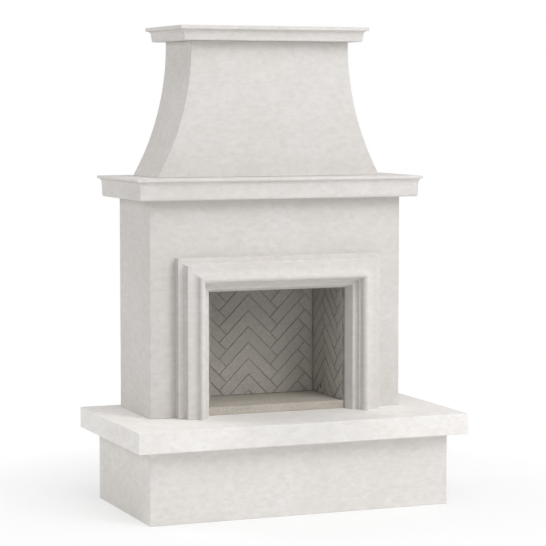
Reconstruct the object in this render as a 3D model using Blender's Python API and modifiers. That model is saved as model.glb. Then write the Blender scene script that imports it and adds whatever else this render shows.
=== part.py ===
"""Free-standing outdoor fireplace of cast concrete modules, with its firebox, throat damper and flue.

All lengths are in metres. +Z is up, the mouth of the fireplace faces -Y, and the base stands on z = 0.
"""
import math

import bpy
import bmesh
from mathutils import Matrix, Vector

# Clearances and working allowances
SEAT = 0.0003
RUNNING_CLEARANCE = 0.0001
OVERRUN = 0.020
WELD = 0.00001

# Hearth base
PLINTH_HALF_WIDTH = 0.874
PLINTH_DEPTH = 0.891
PLINTH_HEIGHT = 0.400
PLINTH_WALL = 0.030
SLAB_OVER_SIDE = 0.088
SLAB_OVER_FRONT = 0.0835
SLAB_OVER_BACK = 0.075
SLAB_THICK = 0.115
SLAB_SKIN = 0.035
SLAB_RIM = 0.042
BEARER_THICK = 0.060
ARRIS = 0.003

# Body
BODY_HALF_WIDTH = 0.746
BODY_DEPTH = 0.526
BODY_HEIGHT = 1.1925
CAST_WALL = 0.028
OPENING_HEIGHT = 0.6855

# Mantel moulding, offsets counted out from the body's faces
MANTEL_HEIGHT = 0.117
MANTEL_OVER = 0.1005
MANTEL_TOE = 0.071
MANTEL_TOE_RISE = 0.020
MANTEL_FACE = 0.078
MANTEL_NECK = 0.0805
MANTEL_COVE_FOOT = 0.080
MANTEL_COVE_OUT = 0.0965
MANTEL_FILLET = 0.015
MANTEL_ROUND = 0.004
MANTEL_PLATE = 0.030
MANTEL_RIM = 0.085
FLUE_PORT_RADIUS = 0.150

# Chimney with its concave flare
CHIMNEY_DEPTH = 0.4295
CHIMNEY_HEIGHT = 0.749
CHIMNEY_TOP_HALF = 0.468
CHIMNEY_FOOT_HALF = 0.6655
CHIMNEY_NECK = 0.016
FLARE_STEPS = 20

# Cap moulding, offsets counted out from the chimney's faces
CAP_HEIGHT = 0.082
CAP_OVER = 0.0905
CAP_TOE = 0.056
CAP_TOE_RISE = 0.010
CAP_FACE = 0.062
CAP_NECK = 0.066
CAP_COVE_FOOT = 0.043
CAP_COVE_OUT = 0.086
CAP_FILLET = 0.021
CAP_ROUND = 0.005
CAP_PLATE = 0.030
CAP_RIM = 0.060
CAP_PORT_CLEARANCE = 0.003
CAP_RECESS = 0.014
CAP_RECESS_RADIUS = 0.150

# Surround profile, widths counted out from the opening's edge and depths out from the wall
SURROUND_WIDTH = 0.1907
SURROUND_SPLAY = 0.0187
SURROUND_LIP_DEPTH = 0.066
SURROUND_LIP = 0.017
SURROUND_COVE_WIDTH = 0.0093
SURROUND_STEP_DEPTH = 0.095
SURROUND_STEP = 0.009
SURROUND_QUIRK = 0.001
SURROUND_QUIRK_DEPTH = 0.104
SURROUND_BEAD_WIDTH = 0.0232
SURROUND_BEAD_DEPTH = 0.1373
SURROUND_BEAD_FALL = 0.014
SURROUND_BEAD_FOOT_DEPTH = 0.126
SURROUND_HOLLOW = 0.034
SURROUND_BAND_DEPTH = 0.1045
SURROUND_BAND_EDGE = 0.1527
SURROUND_OUTER_COVE = 0.0123
SURROUND_OUTER_DEPTH = 0.0543
CURVE_STEPS = 8

# Firebox
FIREBOX_HALF_WIDTH = 0.3945
CASING_BACK_GAP = 0.0224
FIREBOX_HEIGHT = 0.700
FLOOR_THICK = 0.0445
FLOOR_EDGE_GAP = 0.003
LIP_SETBACK = 0.004
PANEL_SETBACK = 0.002
PANEL_THICK = 0.040
PANEL_TONGUE = 0.0165
INSULATION = 0.012
CASING_SHEET = 0.002
CASING_FLANGE = 0.025

# Herringbone courses
BRICK_LENGTH = 0.245
BRICK_WIDTH = 0.065
BRICK_JOINT = 0.006
JOINT_DEPTH = 0.004
BRICK_ROOT = 0.002
BACK_MIDDLE_SHIFT = 0.0097
BACK_FIRST_KNEE = 0.134
BACK_FIRST_RISE = 0.0258
SIDE_FIRST_KNEE = -0.0409
SIDE_FIRST_RISE = 0.001

# Gas entry in the right-hand wall
GAS_HOLE_RADIUS = 0.010
GAS_SLEEVE_WALL = 0.0035
GAS_RISE = 0.0447
GAS_SETBACK = 0.1206
GAS_RECESS = 0.002
GAS_TAIL = 0.015

# Lintel angle
LINTEL_LEG = 0.050
LINTEL_THICK = 0.005
LINTEL_END_GAP = 0.002

# Smoke dome, damper and transition
DOME_RISE = 0.180
DOME_SHEET = 0.003
THROAT_HALF_WIDTH = 0.275
THROAT_HALF_DEPTH = 0.115
DAMPER_PORT_HALF_WIDTH = 0.240
DAMPER_PORT_HALF_DEPTH = 0.075
DAMPER_FRAME_THICK = 0.022
DAMPER_LEDGE = 0.010
DAMPER_LEDGE_THICK = 0.006
BLADE_THICK = 0.008
BLADE_EDGE_GAP = 0.0015
BLADE_BARREL_RADIUS = 0.012
DAMPER_SHAFT_RADIUS = 0.006
SHAFT_OVERHANG = 0.012
COLLAR_RADIUS = 0.0095
COLLAR_THICK = 0.008
PIN_RADIUS = 0.0025
PIN_INSET = 0.060
LEVER_SETBACK = 0.018
LEVER_PAD_LENGTH = 0.040
LEVER_PAD_WIDTH = 0.038
LEVER_PAD_THICK = 0.0055
LEVER_ARM_WIDTH = 0.010
LEVER_ARM_DEPTH = 0.018
LEVER_REACH_OUT = 0.070
LEVER_REACH_DOWN = 0.125
LEVER_EYE_RADIUS = 0.020
LEVER_EYE_HOLE = 0.011
LEVER_BOLT_X = 0.020

# Flue
FLUE_RADIUS = 0.1275
FLUE_SHEET = 0.002
HOOD_COLLAR = 0.072
TRANSITION_RISE = 0.225
TRANSITION_SHEET = 0.0025
NECK_RISE = 0.040
FLUE_JOINT_RISE = 0.430
BAND_HEIGHT = 0.040
BAND_SHEET = 0.0025
TOP_FLANGE_THICK = 0.003
SPACER_HEIGHT = 0.025
SPACER_SHEET = 0.003
SPACER_ARM = 0.025
SPACER_DROP = 0.240
SCREEN_HEIGHT = 0.008
SCREEN_RIM = 0.010
SCREEN_BAR = 0.0025
SCREEN_PITCH = 0.025

# Fixings
BRACKET_LEG = 0.045
BRACKET_THICK = 0.005
BRACKET_LENGTH = 0.060
BOLT_RADIUS = 0.005
BOLT_HEAD_RADIUS = 0.0095
BOLT_HEAD_THICK = 0.0065
BOLT_BITE = 0.018
CHIMNEY_BRACKET_X = 0.330
LINTEL_BOLT_INSET = 0.120

# Facets
ROUND_FACETS = 32
BORE_FACETS = 24
SMALL_FACETS = 16
BOLT_FACETS = 12
SMOOTH_LIMIT = 32

# Levels and planes that more than one piece shares
BACK_Y = (PLINTH_DEPTH + SLAB_OVER_FRONT - MANTEL_OVER) / 2
PLINTH_FRONT_Y = BACK_Y - PLINTH_DEPTH
BODY_FRONT_Y = BACK_Y - BODY_DEPTH
WALL_BACK_Y = BODY_FRONT_Y + CAST_WALL
CHIMNEY_FRONT_Y = BACK_Y - CHIMNEY_DEPTH
FLUE_Y = BACK_Y - CHIMNEY_DEPTH / 2
SLAB_Z = PLINTH_HEIGHT + SEAT
HEARTH_Z = SLAB_Z + SLAB_THICK
BODY_Z = HEARTH_Z + SEAT
BODY_TOP_Z = BODY_Z + BODY_HEIGHT
MANTEL_Z = BODY_TOP_Z + SEAT
MANTEL_TOP_Z = MANTEL_Z + MANTEL_HEIGHT
CHIMNEY_Z = MANTEL_TOP_Z + SEAT
CHIMNEY_TOP_Z = CHIMNEY_Z + CHIMNEY_HEIGHT
CAP_Z = CHIMNEY_TOP_Z + SEAT
CAP_TOP_Z = CAP_Z + CAP_HEIGHT
OPENING_HALF = FIREBOX_HALF_WIDTH + PANEL_TONGUE + SEAT
OPENING_TOP_Z = HEARTH_Z + OPENING_HEIGHT
FLOOR_TOP_Z = BODY_Z + FLOOR_THICK
PANEL_Z = FLOOR_TOP_Z + SEAT
PANEL_TOP_Z = PANEL_Z + FIREBOX_HEIGHT
PANEL_OUT = FIREBOX_HALF_WIDTH + PANEL_THICK
CASING_IN = PANEL_OUT + INSULATION + 2 * SEAT
CASING_OUT = CASING_IN + CASING_SHEET
LIP_Y = BODY_FRONT_Y + LIP_SETBACK
CASING_BACK_Y = BACK_Y - CAST_WALL - CASING_BACK_GAP - CASING_SHEET
BACK_PANEL_Y = CASING_BACK_Y - INSULATION - 2 * SEAT
FIREBOX_BACK_Y = BACK_PANEL_Y - PANEL_THICK
DOME_Z = PANEL_TOP_Z + SEAT
FRAME_Z = DOME_Z + DOME_RISE + SEAT
BLADE_Z = FRAME_Z + DAMPER_LEDGE_THICK + SEAT
AXIS_Z = BLADE_Z + BLADE_THICK / 2
TRANSITION_Z = FRAME_Z + DAMPER_FRAME_THICK + SEAT
NECK_Z = TRANSITION_Z + TRANSITION_RISE
NECK_RADIUS = FLUE_RADIUS - FLUE_SHEET - SEAT
FLUE_JOINT_Z = NECK_Z + FLUE_JOINT_RISE
FLANGE_Z = CAP_TOP_Z - CAP_RECESS + SEAT
FLUE_TOP_Z = FLANGE_Z + TOP_FLANGE_THICK
SCREEN_Z = FLUE_TOP_Z + SEAT


def clear_scene():
    for obj in list(bpy.data.objects):
        bpy.data.objects.remove(obj, do_unlink=True)


def new_collection(name):
    collection = bpy.data.collections.new(name)
    bpy.context.scene.collection.children.link(collection)
    return collection


def new_material(name, colour, roughness, metallic=0.0):
    material = bpy.data.materials.new(name)
    material.use_nodes = True
    shader = material.node_tree.nodes["Principled BSDF"]
    shader.inputs["Base Color"].default_value = (*colour, 1.0)
    shader.inputs["Roughness"].default_value = roughness
    shader.inputs["Metallic"].default_value = metallic
    material.diffuse_color = (*colour, 1.0)
    return material


def smooth_round(mesh):
    """Shades curved sides smooth and keeps every corner sharper than the limit."""
    mesh.shade_smooth()
    mesh.set_sharp_from_angle(angle=math.radians(SMOOTH_LIMIT))


def add_object(name, mesh, material=None, cutter=False):
    obj = bpy.data.objects.new(name, mesh)
    if cutter:
        CUTTERS.objects.link(obj)
        obj.hide_render = True
        obj.display_type = "WIRE"
    else:
        PARTS.objects.link(obj)
        mesh.materials.append(material)
    return obj


def finish_mesh(name, bm):
    bmesh.ops.recalc_face_normals(bm, faces=bm.faces)
    mesh = bpy.data.meshes.new(name)
    bm.to_mesh(mesh)
    bm.free()
    return mesh


def box(name, low, high, material=None, cutter=False):
    """A block between two corners, with its origin in its middle."""
    bm = bmesh.new()
    bmesh.ops.create_cube(bm, size=1.0)
    size = Vector(high) - Vector(low)
    bmesh.ops.scale(bm, vec=size, verts=bm.verts)
    obj = add_object(name, finish_mesh(name, bm), material, cutter)
    obj.location = (Vector(low) + Vector(high)) / 2
    return obj


def rod(name, radius, start, end, facets, material=None, cutter=False):
    """A round bar from one point to another."""
    axis = Vector(end) - Vector(start)
    bm = bmesh.new()
    bmesh.ops.create_cone(bm, cap_ends=True, segments=facets, radius1=radius, radius2=radius,
                          depth=axis.length)
    mesh = finish_mesh(name, bm)
    smooth_round(mesh)
    obj = add_object(name, mesh, material, cutter)
    turn = axis.to_track_quat("Z", "Y").to_matrix().to_4x4()
    obj.matrix_world = Matrix.Translation((Vector(start) + Vector(end)) / 2) @ turn
    return obj


def outline_mesh(name, outlines, half):
    """Flat outlines filled and given a thickness of twice half, as a welded mesh."""
    curve = bpy.data.curves.new(name, "CURVE")
    curve.dimensions = "2D"
    curve.fill_mode = "BOTH"
    curve.extrude = half
    for outline in outlines:
        spline = curve.splines.new("POLY")
        spline.points.add(len(outline) - 1)
        for point, (u, v) in zip(spline.points, outline):
            point.co = (u, v, 0.0, 1.0)
        spline.use_cyclic_u = True
    holder = bpy.data.objects.new(name, curve)
    bpy.context.scene.collection.objects.link(holder)
    bpy.context.view_layer.update()
    shaped = holder.evaluated_get(bpy.context.evaluated_depsgraph_get())
    mesh = bpy.data.meshes.new_from_object(shaped)
    bpy.data.objects.remove(holder, do_unlink=True)
    bpy.data.curves.remove(curve)
    bm = bmesh.new()
    bm.from_mesh(mesh)
    bpy.data.meshes.remove(mesh)
    bmesh.ops.remove_doubles(bm, verts=bm.verts, dist=WELD)
    for face in bm.faces:
        face.smooth = False
    return finish_mesh(name, bm)


def outline_solid(name, outlines, half, matrix, material=None, cutter=False):
    mesh = outline_mesh(name, outlines, half)
    if matrix.determinant() < 0:
        matrix = matrix.copy()
        mesh.transform(matrix)
        mesh.flip_normals()
        return add_object(name, mesh, material, cutter)
    obj = add_object(name, mesh, material, cutter)
    obj.matrix_world = matrix
    return obj


def loft(name, rings, material=None, cutter=False, closed=False):
    """Skin over a stack of rings of equal point counts; capped, or closed back on itself."""
    bm = bmesh.new()
    loops = [[bm.verts.new(point) for point in ring] for ring in rings]
    count = len(loops[0])
    pairs = list(zip(loops, loops[1:]))
    if closed:
        pairs.append((loops[-1], loops[0]))
    else:
        bm.faces.new(loops[0])
        bm.faces.new(loops[-1])
    for low, high in pairs:
        for i in range(count):
            j = (i + 1) % count
            bm.faces.new((low[i], low[j], high[j], high[i]))
    mesh = finish_mesh(name, bm)
    smooth_round(mesh)
    return add_object(name, mesh, material, cutter)


def turned(name, profile, centre, facets, material=None, cutter=False):
    """A ring turned about a vertical axis from a closed profile of (radius, height) points."""
    mesh = bpy.data.meshes.new(name)
    corners = [(radius, 0.0, height) for radius, height in profile]
    edges = [(i, (i + 1) % len(corners)) for i in range(len(corners))]
    mesh.from_pydata(corners, edges, [])
    obj = add_object(name, mesh, material, cutter)
    obj.location = centre
    screw = obj.modifiers.new("turn", "SCREW")
    screw.axis = "Z"
    screw.angle = math.tau
    screw.steps = facets
    screw.render_steps = facets
    screw.use_merge_vertices = True
    screw.merge_threshold = WELD
    return obj


def combine(obj, other, operation="DIFFERENCE"):
    change = obj.modifiers.new(operation.lower(), "BOOLEAN")
    change.operation = operation
    change.object = other
    change.solver = "EXACT"


def round_arrises(obj):
    bevel = obj.modifiers.new("arris", "BEVEL")
    bevel.width = ARRIS
    bevel.segments = 2
    bevel.limit_method = "ANGLE"
    bevel.angle_limit = math.radians(60.0)


def rectangle(half_x, y_low, y_high, z):
    return [(-half_x, y_low, z), (half_x, y_low, z), (half_x, y_high, z), (-half_x, y_high, z)]


def arc_points(start, span_u, span_v, steps, hollow):
    """Quarter ellipse from start over both spans; hollow says which axis it leaves along."""
    points = []
    for i in range(1, steps + 1):
        angle = math.pi / 2 * i / steps
        slow = 1.0 - math.cos(angle)
        fast = math.sin(angle)
        u_share, v_share = (slow, fast) if hollow else (fast, slow)
        points.append((start[0] + span_u * u_share, start[1] + span_v * v_share))
    return points


def cornice(name, half_x, y_low, y_high, z, profile, material):
    """A moulded block: the profile runs round all four sides and meets in true mitres."""
    rings = [rectangle(half_x + out, y_low - out, y_high + out, z + rise) for out, rise in profile]
    return loft(name, rings, material)


def cornice_profile(height, over, toe, toe_rise, face, neck, cove_foot, cove_out, fillet, rounding):
    """Offsets and heights from the underside up: rounded toe, face, cove, fillet, eased top."""
    profile = [(toe, 0.0)]
    profile += arc_points(profile[-1], face - toe, toe_rise, CURVE_STEPS - 1, False)
    profile.append((neck, cove_foot))
    cove_top = height - fillet
    profile += arc_points(profile[-1], cove_out - neck, cove_top - cove_foot, CURVE_STEPS, True)
    profile.append((over, cove_top))
    profile.append((over, height - rounding))
    profile += arc_points(profile[-1], -rounding, rounding, CURVE_STEPS - 2, True)
    return profile


def surround_profile():
    """Closed outline of (width out from the opening's edge, depth out from the wall)."""
    points = [(0.0, SEAT), (SURROUND_SPLAY, SURROUND_LIP_DEPTH)]
    points.append((SURROUND_SPLAY + SURROUND_LIP, SURROUND_LIP_DEPTH))
    rise = SURROUND_STEP_DEPTH - SURROUND_LIP_DEPTH
    points += arc_points(points[-1], SURROUND_COVE_WIDTH, rise, CURVE_STEPS, False)
    points.append((points[-1][0] + SURROUND_STEP, SURROUND_STEP_DEPTH))
    points.append((points[-1][0] + SURROUND_QUIRK, SURROUND_QUIRK_DEPTH))
    rise = SURROUND_BEAD_DEPTH - SURROUND_QUIRK_DEPTH
    points += arc_points(points[-1], SURROUND_BEAD_WIDTH, rise, CURVE_STEPS, True)
    fall = SURROUND_BEAD_FOOT_DEPTH - SURROUND_BEAD_DEPTH
    points += arc_points(points[-1], SURROUND_BEAD_FALL, fall, CURVE_STEPS, False)
    fall = SURROUND_BAND_DEPTH - SURROUND_BEAD_FOOT_DEPTH
    points += arc_points(points[-1], SURROUND_HOLLOW, fall, CURVE_STEPS, True)
    points.append((SURROUND_BAND_EDGE, SURROUND_BAND_DEPTH))
    fall = SURROUND_OUTER_DEPTH - SURROUND_BAND_DEPTH
    points += arc_points(points[-1], SURROUND_OUTER_COVE, fall, CURVE_STEPS, True)
    points.append((SURROUND_WIDTH, SURROUND_OUTER_DEPTH))
    points.append((SURROUND_WIDTH, SEAT))
    return points


def surround_leg(name, side, material):
    """A jamb of the surround: the profile raised from the hearth, its top cut to the mitre."""
    gap = SEAT * math.sqrt(2.0)
    foot = []
    head = []
    for out, depth in surround_profile():
        x = side * (OPENING_HALF + out)
        y = BODY_FRONT_Y - depth
        foot.append((x, y, HEARTH_Z + SEAT))
        head.append((x, y, OPENING_TOP_Z + out - gap))
    return loft(name, [foot, head], material)


def surround_head(name, material):
    """The head of the surround: the same profile laid across, mitred at both ends."""
    left = []
    right = []
    for out, depth in surround_profile():
        y = BODY_FRONT_Y - depth
        z = OPENING_TOP_Z + out
        left.append((-OPENING_HALF - out, y, z))
        right.append((OPENING_HALF + out, y, z))
    return loft(name, [left, right], material)


def chimney_half_width(rise):
    """Half the chimney's width at a height above its foot: a concave arc, plumb at the neck."""
    arc_rise = CHIMNEY_HEIGHT - CHIMNEY_NECK
    spread = CHIMNEY_FOOT_HALF - CHIMNEY_TOP_HALF
    radius = (arc_rise ** 2 + spread ** 2) / (2 * spread)
    below = max(arc_rise - rise, 0.0)
    return CHIMNEY_TOP_HALF + radius - math.sqrt(radius ** 2 - below ** 2)


def chimney_outline(inset, overrun):
    """Front outline of the flared stack, drawn in by inset and carried past both ends."""
    arc_rise = CHIMNEY_HEIGHT - CHIMNEY_NECK
    side = [(chimney_half_width(0.0) - inset, -overrun)] if overrun else []
    for i in range(FLARE_STEPS + 1):
        rise = arc_rise * i / FLARE_STEPS
        side.append((chimney_half_width(rise) - inset, rise))
    side.append((CHIMNEY_TOP_HALF - inset, CHIMNEY_HEIGHT + overrun))
    return side + [(-x, z) for x, z in reversed(side)]


def upright(y, z):
    """Stands an outline on edge, facing -Y, with its second axis up."""
    turn = Matrix(((1, 0, 0, 0), (0, 0, -1, 0), (0, 1, 0, 0), (0, 0, 0, 1)))
    return Matrix.Translation((0.0, y, z)) @ turn


def brick_outlines(knee, rise, reach, height, mirrored):
    """Herringbone bricks at 45 degrees, each drawn in by half a joint all round.

    knee is where the first slanted course ends, rise the height of its lowest joint. A mirrored
    field has bent bricks over its middle line, and each half is the other's reflection.
    """
    along = BRICK_LENGTH / math.sqrt(2.0)
    across = BRICK_WIDTH / math.sqrt(2.0)
    inset = BRICK_JOINT / math.sqrt(2.0)
    course = 2 * across
    below = math.ceil((reach + along) / course) + 1
    above = math.ceil((height + reach + along) / course) + 1
    bricks = []
    for k in range(-below, above):
        level = rise + k * course
        if mirrored:
            half = [(0.0, level + course - inset), (knee + across - inset, level + across - knee),
                    (knee, level + inset - knee)]
            bent = half + [(0.0, level + inset)] + [(-x, z) for x, z in reversed(half[1:])]
            bricks.append(bent)
        start = knee
        climbs = True
        while start < reach:
            if climbs:
                left = (start, level - knee if mirrored else level)
                low = (left[0] + across, left[1] - across)
                right = (low[0] + along, low[1] + along)
                high = (left[0] + along, left[1] + along)
            else:
                left = (start, level + along - (knee if mirrored else 0.0))
                high = (left[0] + across, left[1] + across)
                right = (high[0] + along, high[1] - along)
                low = (left[0] + along, left[1] - along)
            brick = [(left[0] + inset, left[1]), (low[0], low[1] + inset),
                     (right[0] - inset, right[1]), (high[0], high[1] - inset)]
            bricks.append(brick)
            if mirrored:
                bricks.append([(-x, z) for x, z in reversed(brick)])
            start += along
            climbs = not climbs
    return bricks


def in_field(bricks, low, high, height):
    """The bricks that reach into a field between two widths and two heights."""
    kept = []
    for brick in bricks:
        widths = [u for u, v in brick]
        heights = [v for u, v in brick]
        if max(widths) > low and min(widths) < high and max(heights) > 0.0 and min(heights) < height:
            kept.append(brick)
    return kept


def lay_bricks(wall, bricks, matrix, low, high):
    """Raises the bricks on a wall, trimmed to the field between two corners."""
    half = (JOINT_DEPTH + BRICK_ROOT) / 2
    lift = Matrix.Translation((0.0, 0.0, half - BRICK_ROOT))
    raised = outline_solid(wall.name + "_bricks", bricks, half, matrix @ lift, cutter=True)
    field = box(wall.name + "_field", low, high, cutter=True)
    combine(raised, field, "INTERSECT")
    combine(wall, raised, "UNION")


def back_wall(name, material):
    joint_y = FIREBOX_BACK_Y + JOINT_DEPTH
    wall = box(name, (-PANEL_OUT, joint_y, PANEL_Z), (PANEL_OUT, BACK_PANEL_Y, PANEL_TOP_Z), material)
    reach = FIREBOX_HALF_WIDTH + BACK_MIDDLE_SHIFT
    bricks = brick_outlines(BACK_FIRST_KNEE, BACK_FIRST_RISE, reach, FIREBOX_HEIGHT, True)
    bricks = in_field(bricks, -reach, reach, FIREBOX_HEIGHT)
    face = Matrix.Translation((-BACK_MIDDLE_SHIFT, 0.0, 0.0)) @ upright(joint_y, PANEL_Z)
    edge = BRICK_JOINT / 2
    half = FIREBOX_HALF_WIDTH - edge
    lay_bricks(wall, bricks, face, (-half, FIREBOX_BACK_Y - OVERRUN, PANEL_Z + edge),
               (half, joint_y + OVERRUN, PANEL_TOP_Z - edge))


def side_wall(name, side, material):
    """A side wall of the firebox, its front rebated to pass through the body's opening."""
    joint_x = FIREBOX_HALF_WIDTH + JOINT_DEPTH
    front_y = LIP_Y + PANEL_SETBACK
    back_y = FIREBOX_BACK_Y + JOINT_DEPTH - SEAT
    tongue_x = FIREBOX_HALF_WIDTH + PANEL_TONGUE
    plan = [(joint_x, front_y), (tongue_x, front_y), (tongue_x, WALL_BACK_Y + SEAT),
            (PANEL_OUT, WALL_BACK_Y + SEAT), (PANEL_OUT, back_y), (joint_x, back_y)]
    half = FIREBOX_HEIGHT / 2
    stand = Matrix.Translation((0.0, 0.0, PANEL_Z + half)) @ Matrix.Diagonal((side, 1.0, 1.0, 1.0))
    wall = outline_solid(name, [plan], half, stand, material)
    edge = BRICK_JOINT / 2
    reach = FIREBOX_BACK_Y - front_y
    bricks = brick_outlines(SIDE_FIRST_KNEE, SIDE_FIRST_RISE, reach, FIREBOX_HEIGHT, False)
    bricks = in_field(bricks, 0.0, reach, FIREBOX_HEIGHT)
    face = Matrix(((0, 0, -side, side * joint_x), (-1, 0, 0, FIREBOX_BACK_Y), (0, 1, 0, PANEL_Z),
                   (0, 0, 0, 1)))
    near = side * (FIREBOX_HALF_WIDTH - OVERRUN)
    far = side * (joint_x + OVERRUN)
    low = (min(near, far), front_y + edge, PANEL_Z + edge)
    high = (max(near, far), FIREBOX_BACK_Y - edge, PANEL_TOP_Z - edge)
    lay_bricks(wall, bricks, face, low, high)
    rebate = box(name + "_rebate", (min(near, far), front_y - OVERRUN, OPENING_TOP_Z - SEAT),
                 (max(near, far), WALL_BACK_Y + SEAT, PANEL_TOP_Z + OVERRUN), cutter=True)
    combine(wall, rebate)
    return wall


def firebox_floor(name, material):
    """The raised refractory floor; its front part passes through the opening as a lip."""
    lip_x = FIREBOX_HALF_WIDTH + PANEL_TONGUE - FLOOR_EDGE_GAP
    plan = [(lip_x, LIP_Y), (lip_x, WALL_BACK_Y + SEAT), (PANEL_OUT, WALL_BACK_Y + SEAT),
            (PANEL_OUT, BACK_PANEL_Y)]
    plan += [(-x, y) for x, y in reversed(plan)]
    half = FLOOR_THICK / 2
    outline_solid(name, [plan], half, Matrix.Translation((0.0, 0.0, BODY_Z + half)), material)


def casing(name, material):
    """Sheet jacket round the back and sides of the firebox, flanged at its front edges."""
    front = WALL_BACK_Y + SEAT
    inner = [(CASING_IN, front), (CASING_IN, CASING_BACK_Y)]
    flange_x = CASING_OUT + CASING_FLANGE
    outer = [(CASING_OUT, CASING_BACK_Y + CASING_SHEET), (CASING_OUT, front + CASING_SHEET),
             (flange_x, front + CASING_SHEET), (flange_x, front)]
    plan = inner + [(-x, y) for x, y in reversed(inner)]
    plan += [(-x, y) for x, y in reversed(outer)] + outer
    half = (PANEL_TOP_Z - BODY_Z) / 2
    return outline_solid(name, [plan], half, Matrix.Translation((0.0, 0.0, BODY_Z + half)), material)


def insulation_boards(material):
    side_low = PANEL_OUT + SEAT
    side_high = side_low + INSULATION
    front = WALL_BACK_Y + SEAT
    back = BACK_PANEL_Y + SEAT + INSULATION
    left = box("insulation_left", (-side_high, front, BODY_Z), (-side_low, back, PANEL_TOP_Z), material)
    right = box("insulation_right", (side_low, front, BODY_Z), (side_high, back, PANEL_TOP_Z), material)
    rear = box("insulation_back", (-PANEL_OUT, BACK_PANEL_Y + SEAT, BODY_Z),
               (PANEL_OUT, back, PANEL_TOP_Z), material)
    return left, right, rear


def lintel(name, material):
    """Steel angle behind the head of the opening, between the side walls."""
    wall = WALL_BACK_Y + SEAT
    shape = [(wall, PANEL_TOP_Z), (wall, PANEL_TOP_Z - LINTEL_LEG),
             (wall + LINTEL_THICK, PANEL_TOP_Z - LINTEL_LEG),
             (wall + LINTEL_THICK, PANEL_TOP_Z - LINTEL_THICK),
             (wall + LINTEL_LEG, PANEL_TOP_Z - LINTEL_THICK), (wall + LINTEL_LEG, PANEL_TOP_Z)]
    lie = Matrix(((0, 0, 1, 0), (1, 0, 0, 0), (0, 1, 0, 0), (0, 0, 0, 1)))
    return outline_solid(name, [shape], FIREBOX_HALF_WIDTH - LINTEL_END_GAP, lie, material)


def smoke_dome(name, material):
    """Sheet hood that draws in from the firebox to the throat."""
    front = WALL_BACK_Y + SEAT
    back = CASING_BACK_Y + CASING_SHEET
    top = DOME_Z + DOME_RISE
    near = FLUE_Y - THROAT_HALF_DEPTH
    far = FLUE_Y + THROAT_HALF_DEPTH
    sheet = DOME_SHEET
    rings = [rectangle(CASING_OUT, front, back, DOME_Z),
             rectangle(THROAT_HALF_WIDTH, near, far, top),
             rectangle(THROAT_HALF_WIDTH - sheet, near + sheet, far - sheet, top),
             rectangle(CASING_OUT - sheet, front + sheet, back - sheet, DOME_Z)]
    return loft(name, rings, material, closed=True)


def damper_frame(name, material):
    """Iron frame over the throat, with a ledge that the blade's back edge rests on."""
    top = FRAME_Z + DAMPER_FRAME_THICK
    frame = box(name, (-THROAT_HALF_WIDTH, FLUE_Y - THROAT_HALF_DEPTH, FRAME_Z),
                (THROAT_HALF_WIDTH, FLUE_Y + THROAT_HALF_DEPTH, top), material)
    port = box(name + "_port", (-DAMPER_PORT_HALF_WIDTH, FLUE_Y - DAMPER_PORT_HALF_DEPTH, BLADE_Z - SEAT),
               (DAMPER_PORT_HALF_WIDTH, FLUE_Y + DAMPER_PORT_HALF_DEPTH, top + OVERRUN), cutter=True)
    combine(frame, port)
    mouth = box(name + "_mouth", (-DAMPER_PORT_HALF_WIDTH, FLUE_Y - DAMPER_PORT_HALF_DEPTH, FRAME_Z - OVERRUN),
                (DAMPER_PORT_HALF_WIDTH, FLUE_Y + DAMPER_PORT_HALF_DEPTH - DAMPER_LEDGE, top), cutter=True)
    combine(frame, mouth)
    reach = THROAT_HALF_WIDTH + OVERRUN
    bore = rod(name + "_bore", DAMPER_SHAFT_RADIUS + RUNNING_CLEARANCE, (-reach, FLUE_Y, AXIS_Z),
               (reach, FLUE_Y, AXIS_Z), ROUND_FACETS, cutter=True)
    combine(frame, bore)
    return frame


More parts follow.
